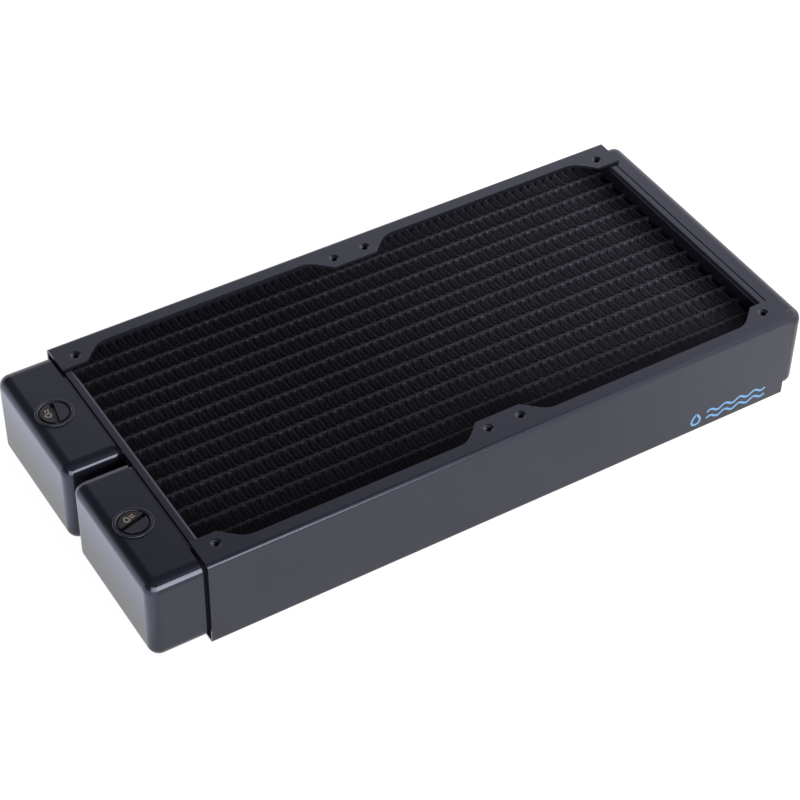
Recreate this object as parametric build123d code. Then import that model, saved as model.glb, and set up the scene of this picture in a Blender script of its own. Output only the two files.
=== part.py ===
from build123d import *
import math
import os

# Liquid cooling radiator for two 140 mm fans: flat-tube core, pressed end tanks, folded side plates.
# Units are millimetres. X runs along the tubes with the port end at -X, Y across them, +Z up.
# The origin is the centre of the bounding box in X and Y, on the plane the radiator lies on.

# ---- driving dimensions -------------------------------------------------------------------------
LENGTH = 315.0
WIDTH = 144.0
HEIGHT = 44.0

# fans
FAN_SIZE = 140.0
FAN_HOLE_SPACING = 124.5
FAN_OPENING_RADIUS = 82.0

# folded side plates
PLATE_SHEET = 1.2
PLATE_BEND_RADIUS = 1.8
PLATE_START = 24.6        # from the port end of the radiator
PLATE_LENGTH = 282.0
PAD_REACH = 15.4          # from the outer face to the inner edge of a screw pad
FLANGE_REACH = 7.0        # the same, along the sides of a fan opening
SCALLOP_BLEND = 10.0
SCREW_HOLE_RADIUS = 1.5
SCREW_DISH_RADIUS = 2.4
SCREW_DISH_DEPTH = 0.5
SCREW_COLLAR_RADIUS = 2.2
SCREW_COLLAR_DROP = 1.6

# end tanks
PORT_TANK_LENGTH = 23.4
RETURN_TANK_LENGTH = 10.2
TANK_INSET = 2.0          # from the side plate's outer face to the tank's side
TANK_DROP = 1.3           # from the flange face to the tank's top
TANK_GAP = 4.9            # between the inlet and the outlet tank
TANK_SHEET = 1.2
TANK_EDGE_RADIUS = 5.2
LIP_INSET = 1.1           # how far the joggled lip steps in, to enter the header
PORT_SEAM = 1.9           # width of the groove between a tank's shoulder and the header's rim
RETURN_SEAM = 0.6
PORT_LIP = 3.5            # length of the lip from the shoulder
RETURN_LIP = 1.3

# headers
HEADER_SHEET = 1.0
PORT_HEADER_DEPTH = 4.1
RETURN_HEADER_DEPTH = 4.2
HEADER_CORNER_RADIUS = 1.8
HEADER_SIDE_CLEARANCE = 0.3

# tubes and fins
TUBE_COUNT = 14
TUBE_PITCH = 9.45
TUBE_THICKNESS = 2.0
TUBE_DEPTH = 30.4
TUBE_SHEET = 0.3
TUBE_PROTRUSION = 1.0     # into the tank, past the header
BRAZE_GAP = 0.05
FIN_PROUD = 0.3           # from the tubes' noses out to the fins' edges
FIN_PERIOD = 4.2
FIN_PERIODS = 64
FIN_SHEET = 0.2
FIN_LAND = 0.9            # flat of each fold where it meets a tube

# ports and plugs
PORT_FROM_END = 11.2
PORT_OFFSET = 35.75       # from the long centre line
THREAD_MAJOR_RADIUS = 6.58
PORT_COLLAR_RADIUS = 8.15
PORT_COLLAR_HEIGHT = 0.8
PORT_COLLAR_ROUND = 0.3
PORT_BODY_RADIUS = 7.8
PORT_THREAD_DEPTH = 7.5
PORT_LEDGE = 1.2
PORT_LEDGE_RADIUS = 5.4
PORT_MOUTH_CHAMFER = 0.45
PLUG_RADIUS = 6.52
PLUG_RECESS = 0.2
PLUG_LENGTH = 6.0
PLUG_HEAD_RADIUS = 5.9    # above the thread
PLUG_HEAD_HEIGHT = 1.3
PLUG_SPIGOT_RADIUS = 5.0
PLUG_SPIGOT_LENGTH = 2.4
SLOT_WIDTH = 1.9
SLOT_DEPTH = 1.8
SEAL_RADIUS = 5.75        # centre line of the ring
SEAL_SECTION_RADIUS = 0.55
INLET_SLOT_ANGLE = 15.5
OUTLET_SLOT_ANGLE = 79.0

# ---- derived places -----------------------------------------------------------------------------
PORT_END_X = -LENGTH / 2
RETURN_END_X = LENGTH / 2
SIDE_Y = WIDTH / 2
PLATE_START_X = PORT_END_X + PLATE_START
PLATE_END_X = PLATE_START_X + PLATE_LENGTH
FAN_CENTRE_X = (PLATE_START_X + PLATE_END_X) / 2
FAN_CENTRES = (FAN_CENTRE_X - FAN_SIZE / 2, FAN_CENTRE_X + FAN_SIZE / 2)

TANK_SIDE_Y = SIDE_Y - TANK_INSET
MID_Z = HEIGHT / 2
PORT_SHOULDER_X = PORT_END_X + PORT_TANK_LENGTH
PORT_RIM_X = PORT_SHOULDER_X + PORT_SEAM
PORT_HEADER_X = PORT_RIM_X + PORT_HEADER_DEPTH
RETURN_SHOULDER_X = RETURN_END_X - RETURN_TANK_LENGTH
RETURN_RIM_X = RETURN_SHOULDER_X - RETURN_SEAM
RETURN_HEADER_X = RETURN_RIM_X - RETURN_HEADER_DEPTH
HEADER_HALF_Y = SIDE_Y - PLATE_SHEET - HEADER_SIDE_CLEARANCE

CORE_CENTRE_X = (PORT_HEADER_X + RETURN_HEADER_X) / 2
FIN_LENGTH = FIN_PERIOD * FIN_PERIODS
TUBE_CENTRES_Y = [(i - (TUBE_COUNT - 1) / 2) * TUBE_PITCH for i in range(TUBE_COUNT)]
PORT_X = PORT_END_X + PORT_FROM_END


def block(x, y, z):
    """A box from three (low, high) pairs."""
    size = [pair[1] - pair[0] for pair in (x, y, z)]
    centre = [(pair[0] + pair[1]) / 2 for pair in (x, y, z)]
    return Pos(*centre) * Box(*size)


def save(shape, name):
    shape.label = name
    export_step(shape, f"parts/{name}.step")


# ---- side plates --------------------------------------------------------------------------------
def fan_opening(centre_x):
    """The outline cut from the flanges over one fan, in plan."""
    circle = Pos(centre_x, 0) * Circle(FAN_OPENING_RADIUS)
    inner_width = 2 * (SIDE_Y - FLANGE_REACH)
    outline = circle & (Pos(centre_x, 0) * Rectangle(4 * FAN_OPENING_RADIUS, inner_width))
    return fillet(outline.vertices(), SCALLOP_BLEND)


def screw_positions(side):
    """Plan positions of one side plate's fan screws, where side is -1 at the front and +1 at the rear."""
    half = FAN_HOLE_SPACING / 2
    return [(centre + end * half, side * half) for centre in FAN_CENTRES for end in (-1, 1)]


def make_side_plate(side):
    outer = block((PLATE_START_X, PLATE_END_X), (-SIDE_Y, -SIDE_Y + PAD_REACH), (0, HEIGHT))
    long_edges = outer.edges().filter_by(Axis.X).filter_by_position(Axis.Y, -SIDE_Y, -SIDE_Y)
    outer = fillet(long_edges, PLATE_BEND_RADIUS)
    inner = block(
        (PLATE_START_X - 1, PLATE_END_X + 1),
        (-SIDE_Y + PLATE_SHEET, 0),
        (PLATE_SHEET, HEIGHT - PLATE_SHEET),
    )
    inner_edges = inner.edges().filter_by(Axis.X).filter_by_position(
        Axis.Y, -SIDE_Y + PLATE_SHEET, -SIDE_Y + PLATE_SHEET
    )
    plate = outer - fillet(inner_edges, PLATE_BEND_RADIUS - PLATE_SHEET)
    for centre in FAN_CENTRES:
        plate -= extrude(fan_opening(centre), amount=HEIGHT)
    if side > 0:
        plate = mirror(plate, Plane.XZ)
    for x, y in screw_positions(side):
        for face_z, inward in ((0, 1), (HEIGHT, -1)):
            plate = add_screw_collar(plate, x, y, face_z, inward)
    return plate


def add_screw_collar(plate, x, y, face_z, inward):
    """One drawn and tapped collar: a short tube under the flange, with a dished mouth."""
    depth = PLATE_SHEET + SCREW_COLLAR_DROP
    middle_z = face_z + inward * depth / 2
    dish_z = face_z + inward * SCREW_DISH_DEPTH / 2
    radii = (SCREW_DISH_RADIUS, SCREW_HOLE_RADIUS)
    bottom_radius, top_radius = radii if inward > 0 else radii[::-1]
    plate += Pos(x, y, middle_z) * Cylinder(SCREW_COLLAR_RADIUS, depth)
    plate -= Pos(x, y, middle_z) * Cylinder(SCREW_HOLE_RADIUS, depth)
    plate -= Pos(x, y, dish_z) * Cone(bottom_radius, top_radius, SCREW_DISH_DEPTH)
    return plate


# ---- headers ------------------------------------------------------------------------------------
def make_header(core_side_x, rim_x):
    """A tray across the core's end: a plate with a slot for each tube, and a rim towards the tank."""
    outward = 1 if rim_x > core_side_x else -1
    floor_x = core_side_x + outward * HEADER_SHEET
    tray = block(
        sorted((core_side_x, rim_x)),
        (-HEADER_HALF_Y, HEADER_HALF_Y),
        (TANK_DROP, HEIGHT - TANK_DROP),
    )
    bent_edges = tray.edges().filter_by(Axis.Y).filter_by_position(Axis.X, core_side_x, core_side_x)
    tray = fillet(bent_edges, HEADER_CORNER_RADIUS)
    tray -= block(
        sorted((floor_x, rim_x + outward)),
        (-HEADER_HALF_Y + HEADER_SHEET, HEADER_HALF_Y - HEADER_SHEET),
        (TANK_DROP + HEADER_SHEET, HEIGHT - TANK_DROP - HEADER_SHEET),
    )
    slot_x = core_side_x + outward * HEADER_SHEET / 2
    for y in TUBE_CENTRES_Y:
        tray -= flat_tube_bar(slot_x, y, 4 * HEADER_SHEET, BRAZE_GAP)
    return tray


# ---- tubes and fins -----------------------------------------------------------------------------
def flat_tube_bar(centre_x, y, length, grow):
    """A solid bar with a flat tube's round-edged section, made larger all round by grow."""
    section = SlotOverall(TUBE_DEPTH + 2 * grow, TUBE_THICKNESS + 2 * grow, rotation=90)
    bar = extrude(Plane.YZ * section, amount=length / 2, both=True)
    return Pos(centre_x, y, MID_Z) * bar


def make_tube(y):
    length = RETURN_HEADER_X - PORT_HEADER_X + 2 * (HEADER_SHEET + TUBE_PROTRUSION)
    outside = flat_tube_bar(CORE_CENTRE_X, y, length, 0)
    return outside - flat_tube_bar(CORE_CENTRE_X, y, length + 1, -TUBE_SHEET)


def fin_outline(low_y, high_y):
    """The folded strip seen from above: slanted legs joined by flat lands against the tubes."""
    middle_y = (low_y + high_y) / 2
    rise = high_y - low_y
    run = FIN_PERIOD / 2 - FIN_LAND
    lean = run / (rise - FIN_SHEET)
    half_width = FIN_SHEET / 2 * math.hypot(1, lean)
    start_x = CORE_CENTRE_X - FIN_LENGTH / 2

    def leg_point(index, edge, y):
        """A point on the left (-1) or right (+1) face of one leg, at the height y."""
        direction = 1 if index % 2 == 0 else -1
        x = start_x + (index + 0.5) * FIN_PERIOD / 2
        return (x + direction * lean * (y - middle_y) + edge * half_width, y)

    upper = []
    lower = []
    for index in range(2 * FIN_PERIODS):
        rising = index % 2 == 0
        upper_left = high_y if rising else high_y - FIN_SHEET
        upper_right = high_y - FIN_SHEET if rising else high_y
        lower_left = low_y + FIN_SHEET if rising else low_y
        lower_right = low_y if rising else low_y + FIN_SHEET
        left_end, right_end = (lower_left, upper_left), (lower_right, upper_right)
        left = [leg_point(index, -1, y) for y in left_end]
        right = [leg_point(index, 1, y) for y in right_end]
        if rising:
            upper += left
            lower += right
        else:
            upper += right[::-1]
            lower += left[::-1]
    return upper, lower


def make_fin(low_y, high_y):
    upper, lower = fin_outline(low_y, high_y)
    depth = TUBE_DEPTH + 2 * FIN_PROUD
    strip = extrude(make_face(Polyline(upper + lower[::-1], close=True)), amount=depth)
    return Pos(0, 0, MID_Z - depth / 2) * strip


def fin_spaces():
    """The (low, high) Y pairs of the spaces between tubes, and between the outer tubes and side plates."""
    wall = SIDE_Y - PLATE_SHEET
    half = TUBE_THICKNESS / 2
    starts = [-wall] + [y + half for y in TUBE_CENTRES_Y]
    ends = [y - half for y in TUBE_CENTRES_Y] + [wall]
    return [(start + BRAZE_GAP, end - BRAZE_GAP) for start, end in zip(starts, ends)]


# ---- tanks --------------------------------------------------------------------------------------
def tank_block(x, y, inset):
    """A tank's section, stepped in all round by inset, along the (low, high) pair x."""
    z = (TANK_DROP + inset, HEIGHT - TANK_DROP - inset)
    shape = block(x, (y[0] + inset, y[1] - inset), z)
    return fillet(shape.edges().filter_by(Axis.X), TANK_EDGE_RADIUS - inset)


def round_end(shape, inward, radius):
    """Rounds the edges of a shape's end face. The rest of the shape lies inward of that face."""
    end_face = shape.faces().sort_by(Axis.X)[0 if inward > 0 else -1]
    return fillet(end_face.edges(), radius)


def make_tank(end_x, shoulder_x, lip_length, y):
    """A deep-drawn box, open towards the core, with a joggled lip that enters the header."""
    inward = 1 if shoulder_x > end_x else -1
    lip_x = shoulder_x + inward * lip_length
    inside_x = end_x + inward * TANK_SHEET
    body = tank_block(sorted((end_x, shoulder_x)), y, 0)
    body = round_end(body, inward, TANK_EDGE_RADIUS - 0.2)
    mid_x = end_x + inward * TANK_EDGE_RADIUS
    lip = tank_block(sorted((mid_x, lip_x)), y, LIP_INSET)
    mouth = tank_block(sorted((mid_x, lip_x + inward)), y, LIP_INSET + TANK_SHEET)
    cavity = tank_block(sorted((inside_x, shoulder_x - inward * TANK_SHEET)), y, TANK_SHEET)
    cavity = round_end(cavity, inward, TANK_EDGE_RADIUS - TANK_SHEET - 0.2)
    return body + lip - mouth - cavity


# ---- ports, plugs and seals ---------------------------------------------------------------------
def make_bush():
    """A threaded bush standing on the tank's skin at Z = 0, with its body below."""
    collar = Pos(0, 0, PORT_COLLAR_HEIGHT / 2) * Cylinder(PORT_COLLAR_RADIUS, PORT_COLLAR_HEIGHT)
    rim = collar.edges().filter_by(GeomType.CIRCLE).sort_by(Axis.Z)[-1]
    collar = fillet(rim, PORT_COLLAR_ROUND)
    body_depth = PORT_THREAD_DEPTH + PORT_LEDGE - PORT_COLLAR_HEIGHT
    bush = collar + Pos(0, 0, -body_depth / 2) * Cylinder(PORT_BODY_RADIUS, body_depth)
    thread_middle = PORT_COLLAR_HEIGHT - PORT_THREAD_DEPTH / 2
    bush -= Pos(0, 0, thread_middle) * Cylinder(THREAD_MAJOR_RADIUS, PORT_THREAD_DEPTH)
    bush -= Cylinder(PORT_LEDGE_RADIUS, 3 * body_depth)
    mouth = Cone(
        THREAD_MAJOR_RADIUS, THREAD_MAJOR_RADIUS + PORT_MOUTH_CHAMFER, PORT_MOUTH_CHAMFER
    )
    return bush - Pos(0, 0, PORT_COLLAR_HEIGHT - PORT_MOUTH_CHAMFER / 2) * mouth


def make_plug(slot_angle):
    """A slotted screw plug, its face just below the collar of a bush that stands on Z = 0."""
    face_z = PORT_COLLAR_HEIGHT - PLUG_RECESS
    head = Pos(0, 0, face_z - PLUG_LENGTH / 2) * Cylinder(PLUG_HEAD_RADIUS, PLUG_LENGTH)
    shank_length = PLUG_LENGTH - PLUG_HEAD_HEIGHT
    shank_z = face_z - PLUG_HEAD_HEIGHT - shank_length / 2
    spigot_z = face_z - PLUG_LENGTH - PLUG_SPIGOT_LENGTH / 2
    plug = head + Pos(0, 0, shank_z) * Cylinder(PLUG_RADIUS, shank_length)
    plug += Pos(0, 0, spigot_z) * Cylinder(PLUG_SPIGOT_RADIUS, PLUG_SPIGOT_LENGTH)
    slot = Pos(0, 0, face_z - SLOT_DEPTH / 2) * Box(4 * PLUG_RADIUS, SLOT_WIDTH, SLOT_DEPTH)
    return plug - Rot(0, 0, slot_angle) * slot


def make_seal():
    """The rubber ring under the plug's shank, around its spigot."""
    ledge_z = PORT_COLLAR_HEIGHT - PORT_THREAD_DEPTH
    shank_z = PORT_COLLAR_HEIGHT - PLUG_RECESS - PLUG_LENGTH
    return Pos(0, 0, (ledge_z + shank_z) / 2) * Torus(SEAL_RADIUS, SEAL_SECTION_RADIUS)


def port_place(side, on_top):
    """Where a port's axis meets a tank's skin. The bottom ports are turned over."""
    if on_top:
        return Pos(PORT_X, side * PORT_OFFSET, HEIGHT - TANK_DROP)
    return Pos(PORT_X, side * PORT_OFFSET, TANK_DROP) * Rot(180, 0, 0)


# ---- the parts ----------------------------------------------------------------------------------
def main():
    os.makedirs("parts", exist_ok=True)
    save(make_side_plate(-1), "side_plate_front")
    save(make_side_plate(1), "side_plate_rear")
    save(make_header(PORT_HEADER_X, PORT_RIM_X), "header_plate_ports")
    save(make_header(RETURN_HEADER_X, RETURN_RIM_X), "header_plate_return")
    for number, y in enumerate(TUBE_CENTRES_Y, start=1):
        save(make_tube(y), f"tube_{number:02d}")
    for number, (low_y, high_y) in enumerate(fin_spaces(), start=1):
        save(make_fin(low_y, high_y), f"fin_strip_{number:02d}")

    full_width = (-TANK_SIDE_Y, TANK_SIDE_Y)
    save(make_tank(RETURN_END_X, RETURN_SHOULDER_X, RETURN_LIP, full_width), "tank_return")
    port_tanks = (("inlet", -1, INLET_SLOT_ANGLE), ("outlet", 1, OUTLET_SLOT_ANGLE))
    for name, side, slot_angle in port_tanks:
        half_width = sorted((side * TANK_GAP / 2, side * TANK_SIDE_Y))
        tank = make_tank(PORT_END_X, PORT_SHOULDER_X, PORT_LIP, half_width)
        top, bottom = port_place(side, True), port_place(side, False)
        for place in (top, bottom):
            tank -= place * Cylinder(PORT_BODY_RADIUS + BRAZE_GAP, 4 * TANK_SHEET)
        save(tank, f"tank_{name}")
        save(top * make_bush(), f"port_bush_{name}_top")
        save(bottom * make_bush(), f"port_bush_{name}_bottom")
        save(top * make_plug(slot_angle), f"port_plug_{name}")
        save(top * make_seal(), f"plug_seal_{name}")


main()
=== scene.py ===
import math
import random

import bmesh
import bpy
from mathutils import Matrix, Vector


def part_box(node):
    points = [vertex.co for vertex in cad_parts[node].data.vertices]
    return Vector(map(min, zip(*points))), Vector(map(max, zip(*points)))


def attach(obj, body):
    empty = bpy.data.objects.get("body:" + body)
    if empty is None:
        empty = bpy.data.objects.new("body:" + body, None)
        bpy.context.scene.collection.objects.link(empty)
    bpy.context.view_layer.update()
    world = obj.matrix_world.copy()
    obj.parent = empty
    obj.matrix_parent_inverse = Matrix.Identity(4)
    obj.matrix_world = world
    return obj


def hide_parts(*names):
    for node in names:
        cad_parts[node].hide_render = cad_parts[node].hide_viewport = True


# Liquid cooling radiator in black paint: looks built around the CAD frame.
# Lengths named _MM are in millimetres. Everything else is in metres, in the frame's own axes.

MM = 0.001
ROOT = "radiator"
RANDOM_SEED = 7

# ---- sheet metal and turned pieces --------------------------------------------------------------
EDGE_BREAK_MM = 0.26
TURNED_EDGE_BREAK_MM = 0.08
EDGE_BREAK_SEGMENTS = 2
WELD_DISTANCE = 1e-6
FLAT_ANGLE = math.radians(1.0)
EDGE_ANGLE = math.radians(40)

# ---- core ---------------------------------------------------------------------------------------
# The DROP lengths are how far a piece stays inside the top and bottom of its CAD box.
# FIN_REACH_MM is how far the folds stand out of the sides of theirs, up to the thinner tubes.
FIN_PERIOD_MM = 4.2
FIN_SHEET_MM = 0.09
FIN_CREST_RADIUS_MM = 1.05
FIN_CREST_SEGMENTS = 8
FIN_TOP_DROP_MM = 0.90
FIN_REACH_MM = 0.4
FIRST_CREST_PERIODS = 0.2
TUBE_HALF_THICKNESS_MM = 0.6
TUBE_SHEET_MM = 0.3
TUBE_TOP_DROP_MM = 0.45
TUBE_NOSE_SEGMENTS = 10
TUBE_STEPS_PER_PERIOD = 8
TUBE_WAVE_MM = 0.10
FOLD_ANGLE = math.radians(50)

# ---- threads ------------------------------------------------------------------------------------
# A thread is its ridge's foot radius, its crest radius and its pitch.
THREAD_STEPS_PER_TURN = 40
THREAD_FOOT_PITCHES = 0.4
PORT_THREAD_MM = (6.6, 5.85, 1.337)
PORT_THREAD_LOW_MM = 1.0
PORT_THREAD_HIGH_MM = 7.6
SCREW_THREAD_MM = (1.52, 1.05, 0.5)
SCREW_THREAD_LENGTH_MM = 2.1
SCREW_THREAD_LEVELS_MM = (("bottom", 0.5), ("top", 41.4))
PORT_X_MM = -146.3
PORT_Y_MM = 35.75
SCREW_XS_MM = (-124.15, 0.35, 15.85, 140.35)
SCREW_Y_MM = 62.25

# ---- printed marks ------------------------------------------------------------------------------
PRINT_MM = 0.03
DROP_STEPS = 32
DROP_FULLNESS = 1.3
DROP_POINT = 0.9
# On a plug: places along its slot and across it, from its axis, and each slot's angle in degrees.
PLUG_FACE_Z_MM = 43.3
PLUG_SLOTS = (("inlet", -1, 15.5), ("outlet", 1, 79.0))
GOLD_STROKE_MM = 0.45
PLUG_DROP_MM = (-1.0, 2.9)
PLUG_DROP_HALF_SIZE_MM = (1.1, 1.35)
PLUG_LINE_MM = (0.8, 2.7)
PLUG_LINE_LEVELS_MM = (2.2, 3.4)
# On the front plate: places along X and up Z.
PLATE_FACE_MM = 72.0
BLUE_STROKE_MM = 1.1
PLATE_DROP_MM = (101.8, 7.3)
PLATE_DROP_HALF_SIZE_MM = (2.2, 2.9)
WAVES_START_MM = 107.5
WAVES_LENGTH_MM = 31.5
WAVES_LEVELS_MM = (5.4, 9.0)
WAVE_PERIOD_MM = 7.875
WAVE_HEIGHT_MM = 0.9
WAVES_STEPS = 64

# ---- paint and ink ------------------------------------------------------------------------------
NOISE_LOW = 0.3
NOISE_HIGH = 0.7
BLACK_PAINT = (0.0075, 0.0078, 0.0115)
PLUG_BLACK = (0.005, 0.0045, 0.005)
PAINT_SHEEN = (0.80, 0.82, 1.0, 1.0)
PAINT_IOR = 1.45
PAINT_UNEVENNESS = 0.25
GLOSS_SPREAD = 0.03
PEEL_HEIGHT_MM = 0.010
RUBBER_DARK = (0.016, 0.016, 0.016)
RUBBER_LIGHT = (0.026, 0.026, 0.026)
RUBBER_ROUGHNESS = 0.675
RUBBER_SPREAD = 0.075
GOLD_DARK = (0.17, 0.13, 0.09)
GOLD_LIGHT = (0.28, 0.22, 0.16)
BLUE_DARK = (0.055, 0.145, 0.26)
BLUE_LIGHT = (0.075, 0.18, 0.32)
INK_ROUGHNESS = 0.4
ROUGHNESS_SPREAD = 0.05

# ---- core paint ---------------------------------------------------------------------------------
# START and END are places along X. A HEIGHT is measured up or down from the core's middle.
# A SHARE is the part of the full grey that is left.
CORE_ROUGHNESS = 0.6
# Painted light: the core's grey and its painted glow rise along X towards the return end.
CORE_PAINTED_LIGHT_START = -0.035
CORE_PAINTED_LIGHT_END = 0.14
PORT_END_TINT = (1.0, 0.97, 1.35)
RETURN_END_TINT = (1.0, 0.97, 1.25)
CORE_MOTTLE = (0.55, 1.45)
CORE_MIDDLE = 0.022
# Painted light and shade on the fins: walls darker near their edges and paler deeper in, crests paler
# near their edges as a painted highlight.
FIN_PALE_HEIGHT = 0.0121
FIN_DARK_HEIGHT = 0.0146
CREST_DARK_HEIGHT = 0.0133
CREST_PALE_HEIGHT = 0.0139
FIN_EDGE_SHARE = 0.25
FIN_CREST_SHARE = 0.62
# Painted shade on the core next to the return header.
CORE_SHADE_START = 0.124
CORE_SHADE_END = 0.138
CORE_SHADE_SHARE = 0.3
# A painted glow that stands for light scattered between the folds.
CORE_PAINTED_GLOW_COLOUR = (0.95, 0.92, 1.15, 1.0)
CORE_PAINTED_GLOW_PORT_END = 0.003
CORE_PAINTED_GLOW_RETURN_END = 0.008

# ---- studio -------------------------------------------------------------------------------------
# The floor glows at strength NEAR, at FAR past the port end, and at RISE more by the return end. The
# stronger glow past the port end and by the return end is a painted pool of light.
FLOOR_HALF_SIZE = 8.0
FLOOR_DARK = (0.09, 0.09, 0.092)
FLOOR_LIGHT = (0.10, 0.10, 0.102)
FLOOR_ROUGHNESS = 0.9
FLOOR_GLOW_START = -0.160
FLOOR_GLOW_END = -0.176
FLOOR_TINT_END = -0.170
FLOOR_GLOW_TINT = (0.81, 0.86, 1.0)
FLOOR_GLOW_NEAR = 0.95
FLOOR_GLOW_FAR = 1.75
FLOOR_RISE_START = 0.05
FLOOR_RISE_END = 0.17
FLOOR_RISE = 0.33
# The wall's grey at each height, where height is Z leant over by the tilt.
WALL_TILT = (-0.46, -0.2)
WALL_GREYS = (
    (0.0, 1.0),
    (0.28, 1.0),
    (0.38, 0.62),
    (0.47, 0.30),
    (0.56, 0.16),
    (0.75, 0.03),
    (0.95, 0.015),
)
WALL_COLOUR = (0.95, 0.94, 1.05)
WALL_BRIGHTNESS = 1.45
# Each front softbox is its azimuth in degrees and its watts.
FRONT_SOFTBOXES = ((-84, 26), (-108, 19), (-132, 14))
LIGHT_TARGET = Vector((0, 0, 0.03))

# ---- camera -------------------------------------------------------------------------------------
CAMERA_AZIMUTH = math.radians(-32.086)
CAMERA_ELEVATION = math.radians(43.253)
CAMERA_ROLL = math.radians(1.065)
CAMERA_PLACE = Vector((-0.38393, -0.60720, 0.68503))
CAMERA_LENS_MM = 102.91
CAMERA_SENSOR_MM = 36.0
CAMERA_CLIP_START = 0.01
CAMERA_CLIP_END = 50.0


def add_mesh(name, vertices, faces):
    mesh = bpy.data.meshes.new(name)
    mesh.from_pydata(vertices, [], faces)
    mesh.validate()
    mesh.update()
    piece = bpy.data.objects.new(name, mesh)
    bpy.context.scene.collection.objects.link(piece)
    return piece


def smooth_below(mesh, angle):
    """Shades a mesh smooth, apart from edges sharper than the angle."""
    mesh.shade_smooth()
    mesh.set_sharp_from_angle(angle=angle)


def repaint(node, material):
    """Gives a CAD node its material."""
    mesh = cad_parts[node].data
    mesh.materials.clear()
    mesh.materials.append(material)


def dress(piece, material, body=ROOT):
    """Gives a new piece its material and the body it moves with."""
    piece.data.materials.clear()
    piece.data.materials.append(material)
    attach(piece, body)


# ---- materials ----------------------------------------------------------------------------------
class Nodes:
    """A short way to write one material's node tree."""

    def __init__(self, name):
        self.material = bpy.data.materials.new(name)
        self.material.use_nodes = True
        self.tree = self.material.node_tree
        self.shader = self.tree.nodes["Principled BSDF"]
        place = self.tree.nodes.new("ShaderNodeTexCoord")
        self.place = place.outputs["Object"]

    def noise(self, scale, detail=2.0):
        node = self.tree.nodes.new("ShaderNodeTexNoise")
        node.inputs["Scale"].default_value = scale
        node.inputs["Detail"].default_value = detail
        self.tree.links.new(self.place, node.inputs["Vector"])
        return node.outputs["Fac"]

    def ramp(self, value, start, end, low, high, smooth=False):
        """Goes from low to high as the value goes from start to end, and no further."""
        node = self.tree.nodes.new("ShaderNodeMapRange")
        node.interpolation_type = "SMOOTHSTEP" if smooth else "LINEAR"
        node.inputs["From Min"].default_value = start
        node.inputs["From Max"].default_value = end
        node.inputs["To Min"].default_value = low
        node.inputs["To Max"].default_value = high
        self.tree.links.new(value, node.inputs["Value"])
        return node.outputs["Result"]

    def between(self, noise, low, high):
        """Maps a noise value to a number from low to high."""
        return self.ramp(noise, NOISE_LOW, NOISE_HIGH, low, high)

    def colours(self, value, low, high):
        """Maps a value from 0 to 1 to a colour from low to high."""
        node = self.tree.nodes.new("ShaderNodeMix")
        node.data_type = "RGBA"
        node.inputs["A"].default_value = (*low, 1.0)
        node.inputs["B"].default_value = (*high, 1.0)
        self.tree.links.new(value, node.inputs["Factor"])
        return node.outputs["Result"]

    def components(self, vector):
        node = self.tree.nodes.new("ShaderNodeSeparateXYZ")
        self.tree.links.new(vector, node.inputs["Vector"])
        return node.outputs["X"], node.outputs["Y"], node.outputs["Z"]

    def calculated(self, operation, *values):
        node = self.tree.nodes.new("ShaderNodeMath")
        node.operation = operation
        for socket, value in zip(node.inputs, values):
            if isinstance(value, bpy.types.NodeSocket):
                self.tree.links.new(value, socket)
            else:
                socket.default_value = value
        return node.outputs["Value"]

    def mixed(self, share, low, high):
        """Mixes two numbers: low where the share is 0, high where it is 1."""
        node = self.tree.nodes.new("ShaderNodeMix")
        self.tree.links.new(share, node.inputs["Factor"])
        self.tree.links.new(low, node.inputs["A"])
        self.tree.links.new(high, node.inputs["B"])
        return node.outputs["Result"]

    def scaled(self, colour, share):
        node = self.tree.nodes.new("ShaderNodeVectorMath")
        node.operation = "SCALE"
        self.tree.links.new(colour, node.inputs[0])
        self.tree.links.new(share, node.inputs["Scale"])
        return node.outputs["Vector"]

    def bump(self, pattern, height_mm):
        node = self.tree.nodes.new("ShaderNodeBump")
        node.inputs["Distance"].default_value = height_mm * MM
        node.inputs["Strength"].default_value = 1.0
        self.tree.links.new(pattern, node.inputs["Height"])
        self.tree.links.new(node.outputs["Normal"], self.shader.inputs["Normal"])

    def set(self, socket, value):
        if isinstance(value, bpy.types.NodeSocket):
            self.tree.links.new(value, self.shader.inputs[socket])
        else:
            self.shader.inputs[socket].default_value = value

    def set_roughness(self, middle, spread, scale, detail=2.0):
        """Gives the shader a roughness that varies about a middle value."""
        noise = self.noise(scale, detail)
        self.set("Roughness", self.between(noise, middle - spread, middle + spread))


def paint(name, colour, gloss, peel_scale):
    """Sprayed paint: uneven depth of colour, roughness that varies slowly, and a fine orange peel."""
    nodes = Nodes(name)
    darker = [(1 - PAINT_UNEVENNESS) * c for c in colour]
    lighter = [(1 + PAINT_UNEVENNESS) * c for c in colour]
    nodes.set("Base Color", nodes.colours(nodes.noise(scale=35.0, detail=3.0), darker, lighter))
    nodes.set_roughness(gloss, GLOSS_SPREAD, scale=60.0, detail=4.0)
    nodes.set("IOR", PAINT_IOR)
    nodes.set("Specular Tint", PAINT_SHEEN)
    nodes.bump(nodes.noise(scale=peel_scale, detail=3.0), PEEL_HEIGHT_MM)
    return nodes.material


def fin_share(nodes, z):
    """How much of its grey a fin keeps: painted shade darkens its walls near its edges and painted light
    makes them paler deeper in, and a painted highlight makes its crests paler near its edges.
    """
    height = nodes.calculated("ABSOLUTE", nodes.calculated("SUBTRACT", z, CORE_MIDDLE))
    normal = nodes.tree.nodes.new("ShaderNodeNewGeometry").outputs["Normal"]
    faces_a_tube = nodes.calculated("ABSOLUTE", nodes.components(normal)[1])
    walls = nodes.ramp(height, FIN_PALE_HEIGHT, FIN_DARK_HEIGHT, 1.0, FIN_EDGE_SHARE)
    crests = nodes.ramp(height, CREST_DARK_HEIGHT, CREST_PALE_HEIGHT, FIN_EDGE_SHARE, FIN_CREST_SHARE)
    return nodes.mixed(faces_a_tube, walls, crests)


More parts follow.
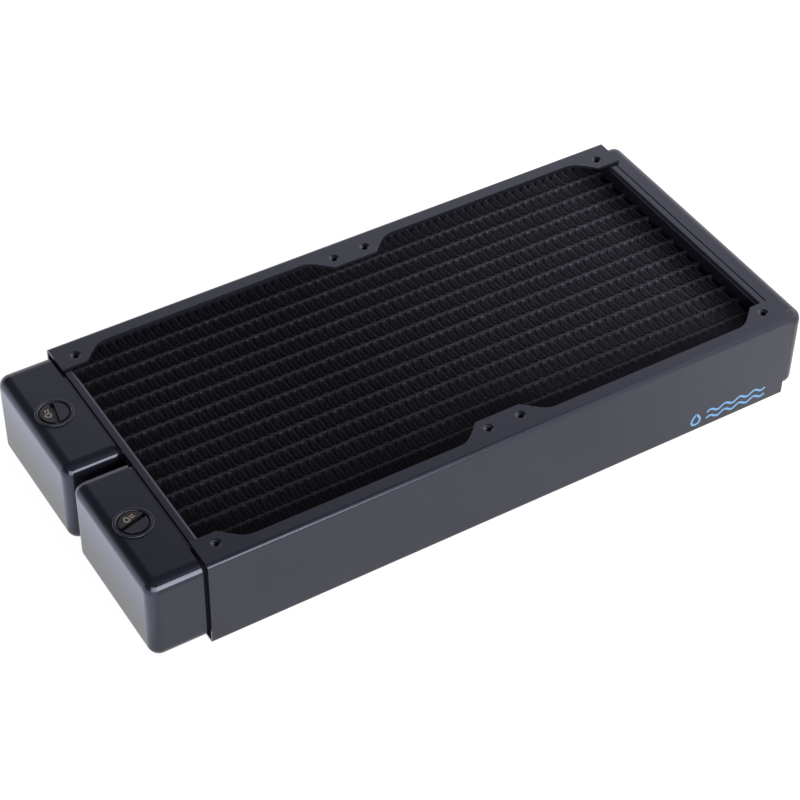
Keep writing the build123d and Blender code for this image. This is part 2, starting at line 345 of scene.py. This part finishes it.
def core_paint(name, port_end_grey, return_end_grey, ior, on_fins=False):
    """Thin dull paint of the core, with painted light that makes it greyer towards the return end, and
    painted shade next to its header.

    A faint painted glow stands for light scattered between the folds.
    """
    nodes = Nodes(name)
    x, _, z = nodes.components(nodes.place)
    port_end = [port_end_grey * share for share in PORT_END_TINT]
    return_end = [return_end_grey * share for share in RETURN_END_TINT]
    # Painted light: the core is painted greyer towards the return end.
    along = nodes.ramp(x, CORE_PAINTED_LIGHT_START, CORE_PAINTED_LIGHT_END, 0.0, 1.0)
    colour = nodes.colours(along, port_end, return_end)
    if on_fins:
        colour = nodes.scaled(colour, fin_share(nodes, z))
    # Painted shade next to the return header.
    shade = nodes.ramp(x, CORE_SHADE_START, CORE_SHADE_END, 1.0, CORE_SHADE_SHARE)
    # Painted glow for light scattered between the folds.
    painted_glow = nodes.ramp(x, CORE_PAINTED_LIGHT_START, CORE_PAINTED_LIGHT_END, CORE_PAINTED_GLOW_PORT_END, CORE_PAINTED_GLOW_RETURN_END)
    nodes.set("Emission Color", CORE_PAINTED_GLOW_COLOUR)
    nodes.set("Emission Strength", nodes.calculated("MULTIPLY", painted_glow, shade))
    mottle = nodes.between(nodes.noise(scale=450.0, detail=3.0), *CORE_MOTTLE)
    nodes.set("Base Color", nodes.scaled(colour, nodes.calculated("MULTIPLY", mottle, shade)))
    nodes.set_roughness(CORE_ROUGHNESS, ROUGHNESS_SPREAD, scale=400.0)
    nodes.set("IOR", ior)
    nodes.bump(nodes.noise(scale=1500.0, detail=3.0), height_mm=0.02)
    return nodes.material


def rubber(name):
    nodes = Nodes(name)
    nodes.set("Base Color", nodes.colours(nodes.noise(scale=300.0), RUBBER_DARK, RUBBER_LIGHT))
    nodes.set_roughness(RUBBER_ROUGHNESS, RUBBER_SPREAD, scale=500.0)
    nodes.bump(nodes.noise(scale=3000.0), height_mm=0.01)
    return nodes.material


def print_ink(name, dark, light):
    nodes = Nodes(name)
    nodes.set("Base Color", nodes.colours(nodes.noise(scale=900.0, detail=4.0), dark, light))
    nodes.set_roughness(INK_ROUGHNESS, ROUGHNESS_SPREAD, scale=700.0)
    nodes.bump(nodes.noise(scale=4000.0), height_mm=0.004)
    return nodes.material


def floor_material():
    """White floor that glows, with a painted pool of cooler and stronger light past the port end, and a
    little more painted light by the return end.
    """
    nodes = Nodes("floor_white")
    nodes.set("Base Color", nodes.colours(nodes.noise(scale=3.0), FLOOR_DARK, FLOOR_LIGHT))
    nodes.set("Roughness", FLOOR_ROUGHNESS)
    nodes.set("Specular IOR Level", 0.0)
    x = nodes.components(nodes.place)[0]
    past = nodes.ramp(x, FLOOR_GLOW_START, FLOOR_GLOW_END, 0.0, 1.0, smooth=True)
    tinted = nodes.ramp(x, FLOOR_GLOW_START, FLOOR_TINT_END, 0.0, 1.0, smooth=True)
    nodes.set("Emission Color", nodes.colours(tinted, (1.0, 1.0, 1.0), FLOOR_GLOW_TINT))
    # Painted pools of light: the glow is stronger past the port end and by the return end.
    glow = nodes.ramp(past, 0.0, 1.0, FLOOR_GLOW_NEAR, FLOOR_GLOW_FAR)
    rise = nodes.ramp(x, FLOOR_RISE_START, FLOOR_RISE_END, 0.0, FLOOR_RISE, smooth=True)
    nodes.set("Emission Strength", nodes.calculated("ADD", glow, rise))
    return nodes.material


# ---- pieces in the frame's own shapes -----------------------------------------------------------
def broken_edges(node, material, width_mm=EDGE_BREAK_MM, body=ROOT):
    """A piece in a CAD node's exact shape, with its sharp edges broken by a narrow rounded bevel."""
    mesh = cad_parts[node].data.copy()
    mesh.name = node + "_skin"
    clean = bmesh.new()
    clean.from_mesh(mesh)
    bmesh.ops.remove_doubles(clean, verts=clean.verts, dist=WELD_DISTANCE)
    bmesh.ops.dissolve_limit(clean, angle_limit=FLAT_ANGLE, verts=clean.verts, edges=clean.edges)
    clean.to_mesh(mesh)
    clean.free()
    smooth_below(mesh, EDGE_ANGLE)
    piece = bpy.data.objects.new(node + "_skin", mesh)
    bpy.context.scene.collection.objects.link(piece)
    bevel = piece.modifiers.new("broken edges", "BEVEL")
    bevel.limit_method = "ANGLE"
    bevel.angle_limit = EDGE_ANGLE
    bevel.width = width_mm * MM
    bevel.segments = EDGE_BREAK_SEGMENTS
    bevel.use_clamp_overlap = True
    weighted = piece.modifiers.new("flat faces stay flat", "WEIGHTED_NORMAL")
    weighted.keep_sharp = False
    dress(piece, material, body)
    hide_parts(node)


# ---- core ---------------------------------------------------------------------------------------
def serpentine(start_x, end_x, low_y, high_y):
    """Centre line of a folded strip: straight legs joined by half-round crests, the first at high_y."""
    half_period = FIN_PERIOD_MM * MM / 2
    radius = FIN_CREST_RADIUS_MM * MM
    points = []
    x = start_x
    side = 1
    while x < end_x - radius:
        centre_y = high_y - radius if side > 0 else low_y + radius
        for step in range(FIN_CREST_SEGMENTS + 1):
            angle = (1 - 2 * step / FIN_CREST_SEGMENTS) * math.pi / 2
            points.append((x - math.sin(angle) * radius, centre_y + side * math.cos(angle) * radius))
        x += half_period
        side = -side
    return points


def ribbon(name, points, half_width, low_z, high_z):
    """A sheet standing on edge along a line of plan points, as one closed solid."""
    vertices = []
    for index, (x, y) in enumerate(points):
        before = points[max(index - 1, 0)]
        after = points[min(index + 1, len(points) - 1)]
        along = Vector((after[0] - before[0], after[1] - before[1])).normalized()
        across = Vector((-along.y, along.x)) * half_width
        left = (x + across.x, y + across.y)
        right = (x - across.x, y - across.y)
        vertices += [(*left, low_z), (*right, low_z), (*right, high_z), (*left, high_z)]
    faces = [(0, 1, 2, 3)]
    for index in range(len(points) - 1):
        here, there = 4 * index, 4 * index + 4
        for corner in range(4):
            following = (corner + 1) % 4
            faces.append((here + corner, there + corner, there + following, here + following))
    last = 4 * (len(points) - 1)
    faces.append((last + 3, last + 2, last + 1, last))
    return add_mesh(name, vertices, faces)


def make_fin(node, material, first_crest_x):
    """A fin's folds, from its first crest to the return header."""
    low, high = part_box(node)
    half_sheet = FIN_SHEET_MM * MM / 2
    reach = FIN_REACH_MM * MM - half_sheet
    end_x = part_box("header_plate_return")[0].x
    line = serpentine(first_crest_x, end_x, low.y - reach, high.y + reach)
    drop = FIN_TOP_DROP_MM * MM
    piece = ribbon(node + "_folds", line, half_sheet, low.z + drop, high.z - drop)
    smooth_below(piece.data, FOLD_ANGLE)
    dress(piece, material)
    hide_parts(node)


def round_edged_loop(half_y, half_z, segments):
    """Section of a flat tube, in Y and Z: two flat sides and two half-round noses."""
    loop = []
    for end in (1, -1):
        for step in range(segments + 1):
            angle = math.pi * step / segments
            y = half_y * math.cos(angle) * end
            z = (half_z - half_y + half_y * math.sin(angle)) * end
            loop.append((y, z))
    return loop


def pressed_in(x, crest_x):
    """How far a tube's side is pressed in: none where a fin's crest touches it, most between crests."""
    phase = 2 * math.pi * (x - crest_x) / (FIN_PERIOD_MM * MM)
    return TUBE_WAVE_MM * MM * (0.5 - 0.5 * math.cos(phase))


def ring_faces(rings, count):
    """Faces between each ring of vertices and the next, and between the last ring and the first."""
    faces = []
    for ring in range(rings):
        here, there = ring * count, (ring + 1) % rings * count
        for index in range(count):
            following = (index + 1) % count
            faces.append((here + index, here + following, there + following, there + index))
    return faces


def make_tube(node, material, near_crest_x, far_crest_x):
    """A flat tube, open at both ends. Its sides are a little hollow between the fins' crests."""
    low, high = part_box(node)
    middle_y = (low.y + high.y) / 2
    middle_z = (low.z + high.z) / 2
    half_y = TUBE_HALF_THICKNESS_MM * MM
    half_z = (high.z - low.z) / 2 - TUBE_TOP_DROP_MM * MM
    wall = TUBE_SHEET_MM * MM
    outer = round_edged_loop(half_y, half_z, TUBE_NOSE_SEGMENTS)
    inner = round_edged_loop(half_y - wall, half_z - wall, TUBE_NOSE_SEGMENTS)
    steps = round((high.x - low.x) / (FIN_PERIOD_MM * MM) * TUBE_STEPS_PER_PERIOD)
    vertices = []
    for step in range(steps + 1):
        x = low.x + (high.x - low.x) * step / steps
        for y, z in outer:
            hollow = pressed_in(x, near_crest_x if y < 0 else far_crest_x)
            vertices.append((x, middle_y + y * (1 - hollow / half_y), middle_z + z))
    for x in (high.x, low.x):
        vertices += [(x, middle_y + y, middle_z + z) for y, z in inner]
    faces = ring_faces(len(vertices) // len(outer), len(outer))
    piece = add_mesh(node + "_skin", vertices, faces)
    smooth_below(piece.data, FOLD_ANGLE)
    dress(piece, material)
    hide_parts(node)


def make_core(tube_material, fin_material, rng):
    """Fin strips with their folds at random places along X, and the tubes between them."""
    period = FIN_PERIOD_MM * MM
    fins = sorted(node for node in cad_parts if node.startswith("fin_strip"))
    tubes = sorted(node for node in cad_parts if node.startswith("tube"))
    first_crests = [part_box(node)[0].x + (FIRST_CREST_PERIODS + rng.random()) * period for node in fins]
    for node, first_crest in zip(fins, first_crests):
        make_fin(node, fin_material, first_crest)
    for index, node in enumerate(tubes):
        make_tube(node, tube_material, first_crests[index], first_crests[index + 1] + period / 2)


# ---- threads ------------------------------------------------------------------------------------
def helical_ridge(name, x, y, low_z, high_z, thread):
    """A thread's ridge inside a bore: a three-sided section, wound round the bore's axis. In mm."""
    foot, crest, pitch = thread
    turns = (high_z - low_z) / pitch - 1
    steps = round(turns * THREAD_STEPS_PER_TURN)
    section = ((foot, -THREAD_FOOT_PITCHES), (crest, 0.0), (foot, THREAD_FOOT_PITCHES))
    vertices = []
    for step in range(steps + 1):
        angle = 2 * math.pi * step / THREAD_STEPS_PER_TURN
        z = low_z + pitch * (0.5 + step / THREAD_STEPS_PER_TURN)
        for radius, rise in section:
            place = (x + radius * math.cos(angle), y + radius * math.sin(angle), z + rise * pitch)
            vertices.append([MM * length for length in place])
    faces = [(0, 2, 1)]
    for step in range(steps):
        here, there = 3 * step, 3 * step + 3
        for corner in range(3):
            following = (corner + 1) % 3
            faces.append((here + corner, here + following, there + following, there + corner))
    last = 3 * steps
    faces.append((last, last + 1, last + 2))
    return add_mesh(name, vertices, faces)


def make_threads(port_material, plate_material):
    """Threads in the two open ports underneath, and in the sixteen screw holes."""
    for end, side in (("inlet", -1), ("outlet", 1)):
        name = f"thread_{end}_bottom"
        y = side * PORT_Y_MM
        ridge = helical_ridge(name, PORT_X_MM, y, PORT_THREAD_LOW_MM, PORT_THREAD_HIGH_MM, PORT_THREAD_MM)
        dress(ridge, port_material)
    for number, x in enumerate(SCREW_XS_MM, 1):
        for side, y in (("front", -SCREW_Y_MM), ("rear", SCREW_Y_MM)):
            for level, low_z in SCREW_THREAD_LEVELS_MM:
                name = f"screw_thread_{side}_{number}_{level}"
                high_z = low_z + SCREW_THREAD_LENGTH_MM
                ridge = helical_ridge(name, x, y, low_z, high_z, SCREW_THREAD_MM)
                dress(ridge, plate_material)


# ---- printed marks ------------------------------------------------------------------------------
def droplet(centre, half_size, turn=0.0):
    """Outline of a drop of water with its point towards +Y, then turned about its centre."""
    half_width, half_height = half_size
    points = []
    for step in range(DROP_STEPS + 1):
        angle = 2 * math.pi * step / DROP_STEPS
        x = DROP_FULLNESS * half_width * math.sin(angle) * math.sin(angle / 2) ** DROP_POINT
        y = half_height * math.cos(angle)
        points.append((
            centre[0] + x * math.cos(turn) - y * math.sin(turn),
            centre[1] + x * math.sin(turn) + y * math.cos(turn),
        ))
    return points


def printed(name, lines, stroke_mm, base_mm, material, body=ROOT):
    """Flat strokes along lines of plan points in mm, printed on the level base_mm."""
    strokes = []
    for number, line in enumerate(lines):
        points = [(MM * x, MM * y) for x, y in line]
        levels = (MM * (base_mm - PRINT_MM / 2), MM * (base_mm + PRINT_MM))
        stroke = ribbon(f"{name}_{number}", points, stroke_mm * MM / 2, *levels)
        dress(stroke, material, body)
        strokes.append(stroke)
    return strokes


def make_plug_mark(end, side, slot_angle, material):
    """A drop and two flow lines beside a plug's slot."""
    turn = math.radians(slot_angle)
    along = (math.cos(turn), math.sin(turn))
    across = (-math.sin(turn), math.cos(turn))

    def place(u, v):
        return (
            PORT_X_MM + u * along[0] + v * across[0],
            side * PORT_Y_MM + u * along[1] + v * across[1],
        )

    lines = [droplet(place(*PLUG_DROP_MM), PLUG_DROP_HALF_SIZE_MM, turn)]
    for level in PLUG_LINE_LEVELS_MM:
        lines.append([place(u, level) for u in PLUG_LINE_MM])
    name = f"plug_mark_{end}"
    printed(name, lines, GOLD_STROKE_MM, PLUG_FACE_Z_MM, material, f"plug_{end}")


def make_plate_mark(material):
    """A drop and two lines of waves, printed on the front side plate near its return end."""
    lines = [droplet(PLATE_DROP_MM, PLATE_DROP_HALF_SIZE_MM)]
    for level in WAVES_LEVELS_MM:
        waves = []
        for step in range(WAVES_STEPS + 1):
            x = WAVES_START_MM + WAVES_LENGTH_MM * step / WAVES_STEPS
            phase = 2 * math.pi * (x - WAVES_START_MM) / WAVE_PERIOD_MM
            waves.append((x, level + WAVE_HEIGHT_MM * math.sin(phase)))
        lines.append(waves)
    upright = Matrix.Rotation(math.pi / 2, 4, "X")
    for stroke in printed("plate_mark", lines, BLUE_STROKE_MM, PLATE_FACE_MM, material):
        stroke.data.transform(upright)


# ---- studio -------------------------------------------------------------------------------------
def make_floor():
    size = FLOOR_HALF_SIZE
    corners = [(-size, -size, 0), (size, -size, 0), (size, size, 0), (-size, size, 0)]
    floor = add_mesh("floor", corners, [(0, 1, 2, 3)])
    floor.data.materials.append(floor_material())


def make_world():
    """A white wall all round, higher on the +X and +Y sides, under a dark ceiling."""
    world = bpy.data.worlds.new("studio")
    bpy.context.scene.world = world
    world.use_nodes = True
    tree = world.node_tree
    background = tree.nodes["Background"]
    place = tree.nodes.new("ShaderNodeTexCoord")
    height = tree.nodes.new("ShaderNodeVectorMath")
    height.operation = "DOT_PRODUCT"
    height.inputs[1].default_value = (*WALL_TILT, 1.0)
    ramp = tree.nodes.new("ShaderNodeValToRGB")
    tree.links.new(place.outputs["Generated"], height.inputs[0])
    tree.links.new(height.outputs["Value"], ramp.inputs["Fac"])
    tree.links.new(ramp.outputs["Color"], background.inputs["Color"])
    ramp.color_ramp.elements[0].position = WALL_GREYS[0][0]
    ramp.color_ramp.elements[1].position = WALL_GREYS[-1][0]
    for position, _ in WALL_GREYS[1:-1]:
        ramp.color_ramp.elements.new(position)
    for element, (_, grey) in zip(ramp.color_ramp.elements, WALL_GREYS):
        element.color = (*(share * grey for share in WALL_COLOUR), 1.0)
    background.inputs["Strength"].default_value = WALL_BRIGHTNESS


def softbox(name, azimuth, elevation, distance, width, height, watts):
    """A rectangular soft light that looks at the middle of the object."""
    azimuth, elevation = math.radians(azimuth), math.radians(elevation)
    away = Vector((
        math.cos(elevation) * math.cos(azimuth),
        math.cos(elevation) * math.sin(azimuth),
        math.sin(elevation),
    ))
    light = bpy.data.lights.new(name, "AREA")
    light.shape = "RECTANGLE"
    light.size = width
    light.size_y = height
    light.energy = watts
    lamp = bpy.data.objects.new(name, light)
    bpy.context.scene.collection.objects.link(lamp)
    lamp.location = LIGHT_TARGET + away * distance
    lamp.rotation_euler = away.to_track_quat("Z", "Y").to_euler()


def make_lights():
    for azimuth, watts in FRONT_SOFTBOXES:
        name = f"front_softbox_{-azimuth}"
        softbox(name, azimuth, elevation=14, distance=1.6, width=0.68, height=1.1, watts=watts)
    softbox("right_panel", azimuth=-15, elevation=42, distance=2.5, width=3.6, height=2.0, watts=38)


def make_camera():
    camera = bpy.data.cameras.new("camera")
    camera.lens = CAMERA_LENS_MM
    camera.sensor_width = CAMERA_SENSOR_MM
    camera.clip_start = CAMERA_CLIP_START
    camera.clip_end = CAMERA_CLIP_END
    stand = bpy.data.objects.new("camera", camera)
    bpy.context.scene.collection.objects.link(stand)
    turn = Matrix.Rotation(CAMERA_AZIMUTH, 4, "Z")
    tilt = Matrix.Rotation(math.pi / 2 - CAMERA_ELEVATION, 4, "X")
    roll = Matrix.Rotation(CAMERA_ROLL, 4, "Z")
    stand.matrix_world = Matrix.Translation(CAMERA_PLACE) @ turn @ tilt @ roll
    bpy.context.scene.camera = stand


# ---- the scene ----------------------------------------------------------------------------------
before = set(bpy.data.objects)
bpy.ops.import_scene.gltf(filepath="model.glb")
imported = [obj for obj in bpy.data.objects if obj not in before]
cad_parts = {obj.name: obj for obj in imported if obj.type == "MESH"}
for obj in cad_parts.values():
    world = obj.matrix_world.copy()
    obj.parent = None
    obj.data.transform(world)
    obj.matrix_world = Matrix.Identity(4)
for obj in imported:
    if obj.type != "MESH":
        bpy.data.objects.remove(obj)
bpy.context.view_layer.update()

bpy.context.scene.view_settings.view_transform = "Standard"
rng = random.Random(RANDOM_SEED)
plate_paint = paint("plate_paint", BLACK_PAINT, gloss=0.23, peel_scale=900.0)
tank_paint = paint("tank_paint", BLACK_PAINT, gloss=0.14, peel_scale=500.0)
# Core paints, greyer towards the return end as painted light.
tube_paint = core_paint("tube_paint", port_end_grey=0.0045, return_end_grey=0.018, ior=1.2)
fin_paint = core_paint("fin_paint", port_end_grey=0.036, return_end_grey=0.10, ior=1.1, on_fins=True)
bush_finish = paint("bush_finish", BLACK_PAINT, gloss=0.20, peel_scale=1500.0)
plug_plastic = paint("plug_plastic", PLUG_BLACK, gloss=0.34, peel_scale=2500.0)
seal_rubber = rubber("seal_rubber")
gold_ink = print_ink("gold_ink", GOLD_DARK, GOLD_LIGHT)
blue_ink = print_ink("blue_ink", BLUE_DARK, BLUE_LIGHT)

for node in ("side_plate_front", "side_plate_rear"):
    broken_edges(node, plate_paint)
for node in ("header_plate_ports", "header_plate_return"):
    broken_edges(node, tank_paint)
for node in ("tank_return", "tank_inlet", "tank_outlet"):
    repaint(node, tank_paint)
for end in ("inlet", "outlet"):
    plug = f"plug_{end}"
    for level in ("top", "bottom"):
        broken_edges(f"port_bush_{end}_{level}", bush_finish, TURNED_EDGE_BREAK_MM)
    broken_edges(f"port_plug_{end}", plug_plastic, TURNED_EDGE_BREAK_MM, plug)
    repaint(f"plug_seal_{end}", seal_rubber)
make_core(tube_paint, fin_paint, rng)
make_threads(bush_finish, plate_paint)
for end, side, slot_angle in PLUG_SLOTS:
    make_plug_mark(end, side, slot_angle, gold_ink)
make_plate_mark(blue_ink)

make_floor()
make_world()
make_lights()
make_camera()
